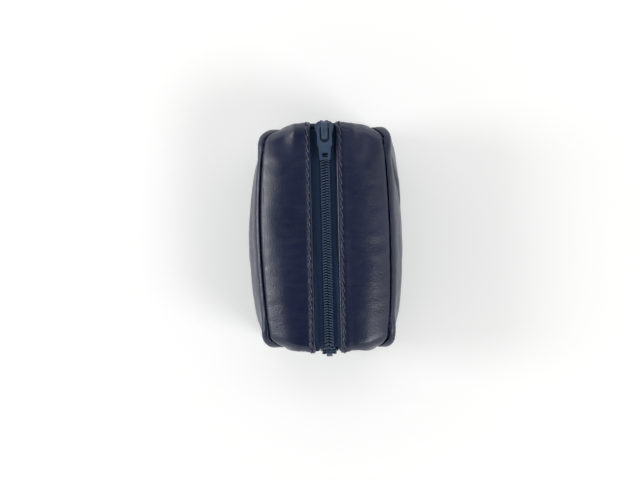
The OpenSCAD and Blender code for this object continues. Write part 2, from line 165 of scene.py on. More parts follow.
def settled(points):
    """The leather as it has settled with use: the front pushed out a little, most of all beside the zip."""
    x, y, z = points[..., 0], points[..., 1], points[..., 2]
    out = smooth((np.abs(x) - 10) / 9)
    beside_zip = np.exp(-((np.abs(x) - 6) / 5) ** 2)
    front = mix(1.1, 2.0, smooth(x / 10)) * out + 1.4 * beside_zip * smooth((z - cross_z - 4) / 10)
    points[..., 1] += 0.5 * out * smooth((y - 40) / 9) - front * smooth((-y - 40) / 9)
    return points


def half_w(y, side):
    """Middle to the long seam, at a place along the pouch."""
    return SEAM[side](y) - drawn_in(y, side)


def fullness(x):
    """1 in the middle, falling to 0 at the long seams: the swell of the top and the base."""
    return 1 - np.minimum(1, np.abs(x) / half_top) ** 3.4


def top_z(x):
    """Height of the top."""
    return body_h - seam_drop * (1 - fullness(x))


def base_z(x):
    """Height of the underside, which lifts towards the long seams."""
    return base_lift * (1 - np.minimum(1, fullness(x) * 1.6))


def end_y(x, end, z):
    """Middle to the end's face. It dips towards a tape that is set deep."""
    dip = min(0, reach[end] + zip_depth - half_l) * np.exp(-(np.maximum(0, np.abs(x) - tape_half) / 9) ** 2)
    return half_l - end_bulge * np.minimum(1, np.abs(x) / half_top) ** 1.6 + dip * clamp((z - cross_z + 12) / 12)


def ripple(point, size, seed=0.0):
    """Soft noise from -1 to 1 whose bumps are about size wide."""
    x, y, z = point
    sx, sy, sz = size if isinstance(size, tuple) else (size, size, size)
    return noise.noise(Vector((x / sx + seed, y / sy - seed * 0.7, z / sz + seed * 1.3)))


def ripples(points, size, seed=0.0):
    """The same noise for a whole grid of points."""
    flat = points.reshape(-1, 3)
    return np.array([ripple(p, size, seed) for p in flat]).reshape(points.shape[:-1])


# ---- Meshes ----

def grid_normals(points):
    """A unit normal at each point of a grid."""
    across = np.gradient(points, axis=1)
    along = np.gradient(points, axis=0)
    normal = np.cross(across, along)
    length = np.linalg.norm(normal, axis=2, keepdims=True)
    return normal / np.maximum(length, 1e-9)


def unit(vectors):
    """Each vector at length 1."""
    return vectors / np.linalg.norm(vectors, axis=-1, keepdims=True)


def grid_mesh(name, points, flip=False):
    """A sheet of quads from rows of points, with a UV map in metres."""
    rows, cols = points.shape[:2]
    index = np.arange(rows * cols).reshape(rows, cols)
    a, b = index[:-1, :-1].ravel(), index[:-1, 1:].ravel()
    c, d = index[1:, 1:].ravel(), index[1:, :-1].ravel()
    faces = np.stack([a, d, c, b] if flip else [a, b, c, d], axis=1)
    mesh = bpy.data.meshes.new(name)
    mesh.from_pydata((points.reshape(-1, 3) * MM).tolist(), [], faces.tolist())
    step_u = np.linalg.norm(np.diff(points, axis=1), axis=2)
    step_v = np.linalg.norm(np.diff(points, axis=0), axis=2)
    u = np.concatenate([np.zeros((rows, 1)), np.cumsum(step_u, axis=1)], axis=1)
    v = np.concatenate([np.zeros((1, cols)), np.cumsum(step_v, axis=0)], axis=0)
    uv = np.stack([u.ravel(), v.ravel()], axis=1) * MM
    layer = mesh.uv_layers.new(name="UVMap")
    corners = np.empty(len(mesh.loops), dtype=np.int32)
    mesh.loops.foreach_get("vertex_index", corners)
    layer.data.foreach_set("uv", uv[corners].ravel())
    mesh.shade_smooth()
    return mesh


def new_object(name, mesh, material=None):
    obj = bpy.data.objects.new(name, mesh)
    bpy.context.scene.collection.objects.link(obj)
    if material:
        mesh.materials.clear()
        mesh.materials.append(material)
    return obj


def baked(obj):
    """The object with its modifiers turned into plain mesh."""
    bpy.context.view_layer.update()
    graph = bpy.context.evaluated_depsgraph_get()
    mesh = bpy.data.meshes.new_from_object(obj.evaluated_get(graph), depsgraph=graph)
    obj.modifiers.clear()
    old, obj.data = obj.data, mesh
    name = old.name
    bpy.data.meshes.remove(old)
    mesh.name = name
    return obj


def sheet_piece(name, points, thickness, material, flip=False):
    """A leather or cloth panel: its outer face from a grid, and its thickness inwards."""
    obj = new_object(name, grid_mesh(name, points, flip), material)
    wall = obj.modifiers.new("thickness", "SOLIDIFY")
    wall.thickness = thickness * MM
    wall.offset = -1
    wall.use_rim = True
    return baked(obj)


def smooth_normals(mesh):
    """A mesh's normals, one for each vertex."""
    mesh.update()
    normals = np.empty(len(mesh.vertices) * 3, dtype=np.float32)
    mesh.vertices.foreach_get("normal", normals)
    return normals.reshape(-1, 3)


def cut(obj, name, origin, direction):
    """The part of a piece on one side of a plane, closed at the cut and shaded as if it were whole."""
    normals = smooth_normals(obj.data)
    bm = bmesh.new()
    bm.from_mesh(obj.data)
    shade = [bm.verts.layers.float.new(f"shade_{axis}") for axis in "xyz"]
    bm.verts.ensure_lookup_table()
    for vert, normal in zip(bm.verts, normals):
        for layer, value in zip(shade, normal):
            vert[layer] = value
    geometry = bm.verts[:] + bm.edges[:] + bm.faces[:]
    found = bmesh.ops.bisect_plane(
        bm, geom=geometry, dist=1e-7, plane_co=Vector(origin) * MM, plane_no=Vector(direction),
        clear_inner=True)
    edges = [e for e in found["geom_cut"] if isinstance(e, bmesh.types.BMEdge) and e.is_valid]
    caps = bmesh.ops.holes_fill(bm, edges=edges, sides=0)["faces"]
    bm.faces.index_update()
    for face in caps:
        face.smooth = False
    cap_index = {face.index for face in caps}
    mesh = bpy.data.meshes.new(name)
    bm.to_mesh(mesh)
    bm.free()
    shades = np.stack([
        np.array([d.value for d in mesh.attributes[f"shade_{axis}"].data]) for axis in "xyz"], axis=1)
    for axis in "xyz":
        mesh.attributes.remove(mesh.attributes[f"shade_{axis}"])
    length = np.linalg.norm(shades, axis=1, keepdims=True)
    shades /= np.maximum(length, 1e-6)
    loops = []
    for face in mesh.polygons:
        for index in face.vertices:
            loops.append(face.normal if face.index in cap_index else shades[index])
    mesh.normals_split_custom_set([tuple(n) for n in loops])
    for material in obj.data.materials:
        mesh.materials.append(material)
    return new_object(name, mesh)


def remove(obj):
    """Deletes a piece that was only a step on the way."""
    mesh = obj.data
    bpy.data.objects.remove(obj)
    if mesh.users == 0:
        bpy.data.meshes.remove(mesh)


def tube_mesh(name, path, radius, sides=6):
    """A round bar swept along a path of points, closed at both ends."""
    path = np.array(path, float)
    tangent = unit(np.gradient(path, axis=0))
    side = np.cross(tangent[0], (0.0, 0.0, 1.0))
    if np.linalg.norm(side) < 0.1:
        side = np.cross(tangent[0], (0.0, 1.0, 0.0))
    side /= np.linalg.norm(side)
    radii = np.broadcast_to(radius, (len(path),))
    rings = []
    for point, along, r in zip(path, tangent, radii):
        side = side - along * np.dot(side, along)
        side /= np.linalg.norm(side)
        other = np.cross(along, side)
        angles = np.arange(sides) * 2 * math.pi / sides
        rings.append(point + r * (np.outer(np.cos(angles), side) + np.outer(np.sin(angles), other)))
    verts = np.concatenate(rings)
    faces = []
    for i in range(len(path) - 1):
        for k in range(sides):
            a, b = i * sides + k, i * sides + (k + 1) % sides
            faces.append((a, b, b + sides, a + sides))
    faces.append(tuple(reversed(range(sides))))
    faces.append(tuple(range((len(path) - 1) * sides, len(path) * sides)))
    mesh = bpy.data.meshes.new(name)
    mesh.from_pydata((verts * MM).tolist(), [], faces)
    mesh.shade_smooth()
    return mesh


def joined(name, meshes):
    """Several meshes as one."""
    bm = bmesh.new()
    for mesh in meshes:
        bm.from_mesh(mesh)
    result = bpy.data.meshes.new(name)
    bm.to_mesh(result)
    bm.free()
    result.shade_smooth()
    return result


# ---- Copies along a path, by Geometry Nodes ----

def add(tree, kind, settings=None, **inputs):
    """Adds a node with its settings and its inputs, each a value or another node's output."""
    node = tree.nodes.new(kind)
    for key, value in (settings or {}).items():
        setattr(node, key, value)
    for key, value in inputs.items():
        name = key.replace("_", " ")
        socket = next((s for s in node.inputs if s.name == name and s.enabled), None)
        if socket is None:
            socket = node.inputs[int(key[1:])]
        if isinstance(value, bpy.types.NodeSocket):
            tree.links.new(value, socket)
        else:
            socket.default_value = value
    return node


def copies_tree():
    """Sets copies of a small piece along a path, turned to follow it and the surface it lies on."""
    tree = bpy.data.node_groups.new("copies along a path", "GeometryNodeTree")
    face = tree.interface
    face.new_socket("Path", in_out="INPUT", socket_type="NodeSocketGeometry")
    face.new_socket("Piece", in_out="INPUT", socket_type="NodeSocketObject")
    face.new_socket("Pitch", in_out="INPUT", socket_type="NodeSocketFloat")
    face.new_socket("Finish", in_out="INPUT", socket_type="NodeSocketMaterial")
    face.new_socket("Copies", in_out="OUTPUT", socket_type="NodeSocketGeometry")
    given = tree.nodes.new("NodeGroupInput")
    curve = add(tree, "GeometryNodeMeshToCurve", Mesh=given.outputs["Path"])
    length = add(tree, "GeometryNodeCurveLength", Curve=curve.outputs[0])
    steps = add(tree, "ShaderNodeMath", {"operation": "DIVIDE"}, _0=length.outputs[0], _1=given.outputs["Pitch"])
    whole = add(tree, "ShaderNodeMath", {"operation": "ROUND"}, _0=steps.outputs[0])
    count = add(tree, "ShaderNodeMath", {"operation": "ADD"}, _0=whole.outputs[0], _1=1.0)
    points = add(tree, "GeometryNodeResampleCurve", Curve=curve.outputs[0], Count=count.outputs[0])
    tangent = add(tree, "GeometryNodeInputTangent")
    up = add(tree, "GeometryNodeInputNamedAttribute", {"data_type": "FLOAT_VECTOR"}, Name="up")
    along = add(tree, "FunctionNodeAlignRotationToVector", {"axis": "Y"}, Vector=tangent.outputs[0])
    turned = add(tree, "FunctionNodeAlignRotationToVector", {"axis": "Z", "pivot_axis": "Y"},
                 Rotation=along.outputs[0], Vector=up.outputs[0])
    piece = add(tree, "GeometryNodeObjectInfo", Object=given.outputs["Piece"])
    placed = add(tree, "GeometryNodeInstanceOnPoints", Points=points.outputs[0],
                 Instance=piece.outputs["Geometry"], Rotation=turned.outputs[0])
    real = add(tree, "GeometryNodeRealizeInstances", Geometry=placed.outputs[0])
    finished = add(tree, "GeometryNodeSetMaterial", Geometry=real.outputs[0], Material=given.outputs["Finish"])
    result = tree.nodes.new("NodeGroupOutput")
    tree.links.new(finished.outputs[0], result.inputs["Copies"])
    return tree


def copies_along(name, path, ups, piece, pitch, material):
    """A mesh of copies of a small piece, one every pitch along a path."""
    mesh = bpy.data.meshes.new(name + "_path")
    edges = [(i, i + 1) for i in range(len(path) - 1)]
    mesh.from_pydata((np.array(path) * MM).tolist(), edges, [])
    layer = mesh.attributes.new("up", "FLOAT_VECTOR", "POINT")
    layer.data.foreach_set("vector", np.array(ups, dtype=np.float32).ravel())
    obj = new_object(name, mesh)
    modifier = obj.modifiers.new("copies", "NODES")
    modifier.node_group = COPIES
    sockets = {s.name: s.identifier for s in COPIES.interface.items_tree if s.in_out == "INPUT"}
    modifier[sockets["Piece"]] = piece
    modifier[sockets["Pitch"]] = pitch * MM
    modifier[sockets["Finish"]] = material
    baked(obj)
    obj.data.shade_smooth()
    return obj


# ---- Materials ----

def linear(colour):
    """An sRGB hex colour as linear values."""
    channels = [int(colour[i:i + 2], 16) / 255 for i in (1, 3, 5)]
    return tuple(c / 12.92 if c <= 0.04045 else ((c + 0.055) / 1.055) ** 2.4 for c in channels) + (1.0,)


def new_material(name):
    """A material with one Principled shader."""
    material = bpy.data.materials.new(name)
    material.use_nodes = True
    tree = material.node_tree
    tree.nodes.clear()
    shader = tree.nodes.new("ShaderNodeBsdfPrincipled")
    output = tree.nodes.new("ShaderNodeOutputMaterial")
    tree.links.new(shader.outputs[0], output.inputs["Surface"])
    return material, tree, shader


def set_inputs(shader, **values):
    for key, value in values.items():
        shader.inputs[key.replace("_", " ")].default_value = value


def grained_leather(name, colour, worn, grain_mm=0.75):
    """Full-grain leather, aniline dyed and lightly waxed: a fine pebble grain, faint creases and a soft sheen."""
    material, tree, shader = new_material(name)
    place = add(tree, "ShaderNodeTexCoord").outputs["Object"]
    per_metre = 1 / (grain_mm * MM)
    pebbles = add(tree, "ShaderNodeTexVoronoi", {"feature": "SMOOTH_F1"}, Vector=place, Scale=per_metre,
                  Smoothness=0.6)
    pores = add(tree, "ShaderNodeTexNoise", Vector=place, Scale=per_metre * 2.2, Detail=3.0)
    stretched = add(tree, "ShaderNodeMapping", Vector=place, Scale=(0.55, 1.5, 1.0)).outputs[0]
    creases = add(tree, "ShaderNodeTexNoise", Vector=stretched, Scale=1 / (4 * MM), Detail=6.0, Roughness=0.62,
                  Distortion=0.25)
    patches = add(tree, "ShaderNodeTexNoise", Vector=place, Scale=1 / (22 * MM), Detail=3.0, Roughness=0.55)
    tone = add(tree, "ShaderNodeMapRange", Value=patches.outputs["Fac"], From_Min=0.35, From_Max=0.7)
    dye = add(tree, "ShaderNodeMix", {"data_type": "RGBA"}, Factor=tone.outputs[0], _6=linear(colour),
              _7=linear(worn))
    tree.links.new(dye.outputs[2], shader.inputs["Base Color"])
    gloss = add(tree, "ShaderNodeMapRange", Value=creases.outputs["Fac"], From_Min=0.3, From_Max=0.7, To_Min=0.28,
                To_Max=0.37)
    tree.links.new(gloss.outputs[0], shader.inputs["Roughness"])
    soft = add(tree, "ShaderNodeBump", Strength=0.18, Distance=0.35 * MM, Height=creases.outputs["Fac"])
    grain = add(tree, "ShaderNodeBump", Strength=0.3, Distance=0.12 * MM, Height=pebbles.outputs["Distance"],
                Normal=soft.outputs[0])
    fine = add(tree, "ShaderNodeBump", Strength=0.25, Distance=0.05 * MM, Height=pores.outputs["Fac"],
               Normal=grain.outputs[0])
    tree.links.new(fine.outputs[0], shader.inputs["Normal"])
    set_inputs(shader, IOR=1.5, Specular_IOR_Level=0.58)
    return material


WAVE_STEP = 0.31416                   # a wave texture's scale for one band in each unit


def woven(name, colour, thread, pitch_mm, twill=False, sheen=0.3):
    """Matt woven cloth: threads crossing over and under, seen as fine ribs."""
    material, tree, shader = new_material(name)
    place = add(tree, "ShaderNodeUVMap").outputs[0]
    waves = []
    for direction in ("DIAGONAL" if twill else "X", "Y"):
        wave = add(tree, "ShaderNodeTexWave", {"bands_direction": direction}, Vector=place,
                   Scale=WAVE_STEP / (pitch_mm * MM) * (1.4 if twill else 1.0), Distortion=0.3)
        waves.append(wave.outputs["Fac"])
    weave = add(tree, "ShaderNodeMath", {"operation": "ADD" if twill else "MULTIPLY"}, _0=waves[0], _1=waves[1])
    fuzz = add(tree, "ShaderNodeTexNoise", Vector=place, Scale=1 / (0.6 * MM), Detail=3.0)
    shade = add(tree, "ShaderNodeMapRange", Value=weave.outputs[0], From_Min=0.0, From_Max=2.0 if twill else 1.0)
    tint = add(tree, "ShaderNodeMix", {"data_type": "RGBA"}, Factor=shade.outputs[0], _6=linear(colour),
               _7=linear(thread))
    tree.links.new(tint.outputs[2], shader.inputs["Base Color"])
    raised = add(tree, "ShaderNodeBump", Strength=0.6, Distance=0.12 * MM, Height=weave.outputs[0])
    rough = add(tree, "ShaderNodeBump", Strength=0.3, Distance=0.05 * MM, Height=fuzz.outputs["Fac"],
                Normal=raised.outputs[0])
    tree.links.new(rough.outputs[0], shader.inputs["Normal"])
    set_inputs(shader, Roughness=0.85, Specular_IOR_Level=0.3, Sheen_Weight=sheen, Sheen_Roughness=0.5)
    return material


def moulded(name, colour, roughness, speck=0.08, **values):
    """Nylon, enamel or thread: one colour with faint unevenness in tone and gloss."""
    material, tree, shader = new_material(name)
    place = add(tree, "ShaderNodeTexCoord").outputs["Object"]
    cloud = add(tree, "ShaderNodeTexNoise", Vector=place, Scale=1 / (1.5 * MM), Detail=4.0)
    darker = tuple(c * (1 - speck * 3) for c in linear(colour)[:3]) + (1.0,)
    tint = add(tree, "ShaderNodeMix", {"data_type": "RGBA"}, Factor=cloud.outputs["Fac"], _6=darker,
               _7=linear(colour))
    tree.links.new(tint.outputs[2], shader.inputs["Base Color"])
    gloss = add(tree, "ShaderNodeMapRange", Value=cloud.outputs["Fac"], To_Min=roughness - speck,
                To_Max=roughness + speck)
    tree.links.new(gloss.outputs[0], shader.inputs["Roughness"])
    skin = add(tree, "ShaderNodeBump", Strength=0.15, Distance=0.05 * MM, Height=cloud.outputs["Fac"])
    tree.links.new(skin.outputs[0], shader.inputs["Normal"])
    set_inputs(shader, **values)
    return material


# Lightly waxed full-grain leather; pebbles of 0.75 mm and creases of about 4 mm
LEATHER = grained_leather("navy grained leather", "#101936", "#17203e")
# Matt plain-woven lining; threads 0.45 mm apart
LINING = woven("navy lining cloth", "#141d38", "#22305a", 0.45)
# Matt twill zip tape; ribs 0.55 mm apart
TAPE = woven("navy zip tape", "#0c1c38", "#17304f", 0.55, twill=True, sheen=0.05)
# Smooth satin nylon; tone varies over 1.5 mm, as it does in the next three
NYLON = moulded("navy nylon coil", "#3a4d6a", 0.34)
# Bonded thread, slightly shiny; two plies of about 0.5 mm
THREAD = moulded("grey-blue bonded thread", "#3b4461", 0.5)
# Satin enamel baked on cast zinc
ENAMEL = moulded("slate-blue enamelled zinc", "#394c66", 0.36)
# Bright drawn steel
STEEL = moulded("bare spring steel", "#9aa0a8", 0.3, Metallic=1.0)
COPIES = copies_tree()


# ---- Camera, light and floor ----

CAMERA_PLACE = (-3.2, -1.5, 727)      # straight above, a little left of the middle
CAMERA_TURN = -1.4                    # degrees
CAMERA_LENS = 80.7


def make_camera():
    """The camera, and a plain view transform that keeps the materials' own colours."""
    data = bpy.data.cameras.new("camera")
    camera = bpy.data.objects.new("camera", data)
    bpy.context.scene.collection.objects.link(camera)
    data.lens = CAMERA_LENS
    data.sensor_width = 36
    camera.location = [c * MM for c in CAMERA_PLACE]
    camera.rotation_euler = (0, 0, math.radians(CAMERA_TURN))
    bpy.context.scene.camera = camera
    bpy.context.scene.view_settings.view_transform = "Standard"


def area_light(name, place, size, power):
    """A soft rectangular light in metres and watts, aimed at the pouch."""
    data = bpy.data.lights.new(name, "AREA")
    data.shape = "RECTANGLE"
    data.size, data.size_y = size
    data.energy = power
    light = bpy.data.objects.new(name, data)
    bpy.context.scene.collection.objects.link(light)
    light.location = place
    aim = Vector((0, 0, 0.04)) - Vector(place)
    light.rotation_euler = aim.to_track_quat("-Z", "Y").to_euler()


def make_world():
    """A pale room: dark overhead, bright round the walls and brightest on the left."""
    world = bpy.data.worlds.new("pale room")
    bpy.context.scene.world = world
    world.use_nodes = True
    tree = world.node_tree
    tree.nodes.clear()
    way = add(tree, "ShaderNodeTexCoord").outputs["Generated"]
    parts = add(tree, "ShaderNodeSeparateXYZ", Vector=way).outputs
    walls = add(tree, "ShaderNodeMapRange", {"interpolation_type": "SMOOTHSTEP"}, Value=parts["Z"], From_Min=0.82,
                From_Max=0.4, To_Min=0.0, To_Max=1.0).outputs[0]
    left = add(tree, "ShaderNodeMapRange", {"interpolation_type": "SMOOTHSTEP"}, Value=parts["X"], From_Min=0.2,
               From_Max=-0.8, To_Min=0.95, To_Max=1.15).outputs[0]
    back = add(tree, "ShaderNodeMapRange", {"interpolation_type": "SMOOTHSTEP"}, Value=parts["Y"], From_Min=0.0,
               From_Max=0.7, To_Min=0.0, To_Max=0.4).outputs[0]
    wall_light = add(tree, "ShaderNodeMath", {"operation": "ADD"}, _0=left, _1=back).outputs[0]
    light = add(tree, "ShaderNodeMath", {"operation": "MULTIPLY_ADD"}, _0=walls, _1=wall_light, _2=0.06).outputs[0]
    room = add(tree, "ShaderNodeBackground", Color=(1.0, 0.995, 0.985, 1), Strength=light)
    output = tree.nodes.new("ShaderNodeOutputWorld")
    tree.links.new(room.outputs[0], output.inputs["Surface"])


def make_floor():
    """A plain pale floor with a faint glow of its own, as in a light tent."""
    mesh = bpy.data.meshes.new("floor")
    size = 2.0
    mesh.from_pydata([(-size, -size, 0), (size, -size, 0), (size, size, 0), (-size, size, 0)], [], [(0, 1, 2, 3)])
    material, _, shader = new_material("matt white board")
    set_inputs(shader, Base_Color=linear("#f1f2f1"), Roughness=0.8, Specular_IOR_Level=0.1,
               Emission_Color=(1, 1, 1, 1), Emission_Strength=0.22)
    floor = new_object("floor", mesh, material)


make_camera()
make_world()
make_floor()
area_light("left window", (-1.0, 0.05, 0.66), (0.32, 0.5), 4.6)
area_light("right softbox", (0.75, -0.45, 1.0), (0.45, 0.45), 4.7)
area_light("rear softbox", (0.1, 0.5, 1.15), (1.0, 0.25), 1.3)


# ---- Leather: the top strips ----

def bend_radius(x, side):
    """Radius of a strip's bend over each end: tight beside the zip and full at the long seam."""
    return mix(zip_bend_r + zip_depth, corner_r, clamp((x - hem_end(side)) / (half_top - hem_end(side))))


def hem_end(side):
    """Where the strip no longer lies over its hem or the tape."""
    return max(lip_edge[side] + hem_w, tape_w) + 0.6


def across(x, y, side):
    """Past the hem, the place across a strip follows the seam in towards the ends."""
    start = hem_end(side)
    return np.where(x < start, x, mix(start, half_w(y, side), (x - start) / (half_top - start)))


def strip_profile(x, side):
    """Points (y, z), outward normals and bend share along a strip, from the rear cross seam over to the front."""
    r = bend_radius(x, side)
    z_top = top_z(x)
    points, normals, bend = [], [], []
    for end in (REAR, FRONT):
        y_end = end_y(x, end, body_h)
        run = []
        for t in np.linspace(0, 1, 24, endpoint=False):
            run.append(((y_end, mix(cross_z, z_top - r, t)), (1, 0), smooth((t - 0.55) / 0.45)))
        for t in np.linspace(0, 1, 11):
            a = t * math.pi / 2
            run.append(((y_end - r + r * math.cos(a), z_top - r + r * math.sin(a)), (math.cos(a), math.sin(a)), 1.0))
        for t in np.linspace(0, 1, 54)[1:]:
            y = mix(y_end - r, split_y * end, t)
            run.append(((y, z_top), (0, 1), 1 - smooth(t / 0.12)))
        if end == FRONT:
            run = run[::-1][1:]
        for (y, z), (ny, nz), b in run:
            points.append((end * y, z))
            normals.append((end * ny, nz))
            bend.append(b)
    return np.array(points), np.array(normals), np.array(bend)


def strip_rows(side):
    """Places across a strip: under the hem, round its edge, over the top and into the long seam."""
    edge = lip_edge[side]
    hem = []
    for t in np.linspace(0, 1, 8):
        hem.append((mix(edge + hem_w, edge + hem_r, t), 1.0))
    for t in np.linspace(0, 1, 9)[1:-1]:
        a = t * math.pi
        hem.append((edge + hem_r - hem_r * math.sin(a), 0.5 + 0.5 * math.cos(a)))
    top = [(edge + hem_r + d, 0.0) for d in np.arange(0, 3.2, 0.32)]
    rest = np.linspace(0, 1, 27)[1:]
    top += [(mix(edge + hem_r + 3.2, half_top, 1 - (1 - t) ** 1.25), 0.0) for t in rest]
    return hem + top


def stitch_marks(y):
    """1 at each stitch hole, falling to 0 between them."""
    return np.cos(math.pi * (y / stitch_pitch + 0.5)) ** 8


def top_strip(side):
    """One top strip with its hem, cut where the mouth folds and where its two halves meet."""
    word = SIDE_WORD[side]
    edge = lip_edge[side]
    rows, outwards, marks = [], [], []
    for x, hem in strip_rows(side):
        profile, normals, bend = strip_profile(x, side)
        y, z = profile[:, 0], profile[:, 1]
        at = np.where(y > 0, 1, 0)
        hem_top = zip_depth - 0.12
        hem_rear = half_l - reach[REAR] - 0.12
        on_rear = at * clamp((body_h - 1.5 - z) / 3)
        depth = hem * mix(hem_top, hem_rear, on_rear)
        n = np.stack([np.zeros_like(y), normals[:, 0], normals[:, 1]], axis=1)
        p = np.stack([side * across(x, y, side), y, z], axis=1) - n * depth[:, None]
        rows.append(p)
        outwards.append(n)
        marks.append(np.stack([np.full_like(y, x), np.full_like(y, hem), bend], axis=1))
    points, normals, marks = np.array(rows), np.array(outwards), np.array(marks)
    x, hem, bend = marks[..., 0], marks[..., 1], marks[..., 2]
    y, z = points[..., 1], points[..., 2]
    on_top = 1 - hem

    # Into the long seam: both leathers turn down together along the line between them
    from_seam = (half_top - x) * np.minimum(1, (half_w(y, side) - hem_end(side)) / (half_top - hem_end(side)) + 0.25)
    depth, width = 0.9 + 0.4 * bend, 2.2 + 0.6 * bend
    sink = depth * clamp(1 - from_seam / width) ** 2
    towards = unit(normals + np.array([side, 0, 0]))
    points = points - towards * sink[..., None]

    # Relief of the top face: the groove along the stitches, puckers, creases and slack
    length = np.where(np.abs(y) < half_l - 6, y, np.sign(y) * (half_l - 6 + body_h - z))
    from_stitch = x - edge - topstitch_in
    groove = -0.28 * np.exp(-(from_stitch / 0.55) ** 2) * (0.7 + 0.3 * stitch_marks(length))
    holes = -0.22 * np.exp(-(from_stitch / 0.45) ** 2) * stitch_marks(length)
    swell = 0.16 * np.exp(-((from_stitch - 1.9) / 1.1) ** 2) + 0.1 * np.exp(-((from_stitch + 1.2) / 0.5) ** 2)
    spread = np.stack([x * side, length, np.zeros_like(x)], axis=2)
    pucker = ripples(spread, (9.0, 2.6, 9.0), 3.1 * side) * np.exp(-np.abs(from_stitch) / 4.5) * 0.16
    seam_pucker = ripples(spread, (7.0, 3.4, 7.0), 7.7 * side) * np.exp(-from_seam / 4.0) * 0.22
    slack = ripples(spread, (16.0, 21.0, 16.0), 11.3 * side) * 0.5 * smooth(from_seam / 9) * smooth((x - edge) / 9)
    creases = ripples(spread, (7.0, 4.5, 7.0), 5.2 * side) * 0.1
    relief = (groove + holes + swell + pucker + slack + creases) * on_top + seam_pucker * on_top
    # The rear of the top slopes away behind a soft diagonal fold
    behind = y - mix(24, 42, x / half_top)
    fall = 0.13 * np.log1p(np.exp(np.clip(behind / 1.2, -30, 30))) * 1.2 * smooth((z - body_h + 11) / 7)
    points = points + normals * relief[..., None]
    points[..., 2] -= fall * smooth((x - hem_end(side) + 1) / 8)

    # Turned-in leather past the seam, out of sight
    last = points[-1]
    tuck = [last - towards[-1] * d for d in (0.8, 1.8)]
    points = np.concatenate([points, np.array(tuck)])
    whole = sheet_piece(f"{word}_top_leather_whole", settled(points), leather_t, LEATHER, flip=side == LEFT)
    seam_side = cut(whole, f"{word}_seam_edge", (side * fold_x, 0, 0), (side, 0, 0))
    lip = cut(whole, f"{word}_lip_whole", (side * fold_x, 0, 0), (-side, 0, 0))
    rear = cut(lip, f"{word}_top_leather_rear", (0, split_y, 0), (0, 1, 0))
    front = cut(lip, f"{word}_top_leather_front", (0, split_y, 0), (0, -1, 0))
    remove(whole)
    remove(lip)
    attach(seam_side, "shell")
    bend_with_lip(rear)
    bend_with_lip(front)
    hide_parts(f"{word}_top_panel", f"{word}_top_panel_rear")
    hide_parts(f"{word}_top_panel_front")


def bend_with_lip(piece):
    """Bakes the piece's placing into its mesh. It is not tied to the lip or the shell."""
    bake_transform(piece)


# ---- Leather: the side panels and the gusset ----

def panel_place(p, q, h, v, r):
    """A place in the square from -1 to 1, moved into a rounded rectangle of half sizes h and v."""
    m = max(abs(p), abs(q))
    if m == 0:
        return 0.0, 0.0
    y, z = p / m * h, q / m * v
    cy, cz = math.copysign(h - r, y), math.copysign(v - r, z)
    if abs(y) > h - r and abs(z) > v - r:
        d = math.hypot(y - cy, z - cz)
        y, z = cy + (y - cy) / d * r, cz + (z - cz) / d * r
    return m * y, m * z


def from_rim(y, z, h, v, r):
    """Distance in from the rim of a rounded rectangle."""
    qy, qz = np.abs(y) - (h - r), np.abs(z) - (v - r)
    outside = np.hypot(np.maximum(qy, 0), np.maximum(qz, 0))
    return np.maximum(0, r - outside - np.minimum(np.maximum(qy, qz), 0))


def panel_grid(nu, nv, margin=0.0):
    """Places (y, z from the middle) over a side panel, closer together towards its rim."""
    h, v = seam_y - margin, side_half_h - margin

    def spread(i, n):
        return math.sin(math.pi / 2 * (2 * i / n - 1)) * 0.55 + (2 * i / n - 1) * 0.45

    grid = [[panel_place(spread(i, nu), spread(j, nv), h, v, corner_r) for j in range(nv + 1)] for i in range(nu + 1)]
    return np.array(grid)


def panel_x(y, z, side):
    """Middle to a side panel's face. It swells out, and it rolls round its drawn-in corners."""
    roll = 1 - (1 - clamp(from_rim(y, z, seam_y, side_half_h, corner_r) / 6)) ** 2.4
    swell = (OUTLINE[side](y) - SEAM[side](y)) * (1 - np.minimum(1, np.abs(y) / seam_y) ** 16)
    ear = drawn_in(y, side) * roll * at_corner(EAR, y, side)
    return half_w(y, side) + ear + swell * (1 - np.minimum(1, np.abs(z) / side_half_h) ** 3)


def diagonal_fold(y, z):
    """A soft fold that runs down a side from the rear of its top seam."""
    down, off = ((39 - y) * 26 + (55 - z) * 17) / 31, ((y - 39) * 17 + (55 - z) * 26) / 31
    ends = smooth(down / 6) * smooth((34 - down) / 10)
    return ends * (0.3 * np.exp(-((off - 3.6) / 2.4) ** 2) - 0.9 * np.exp(-(off / 1.5) ** 2))


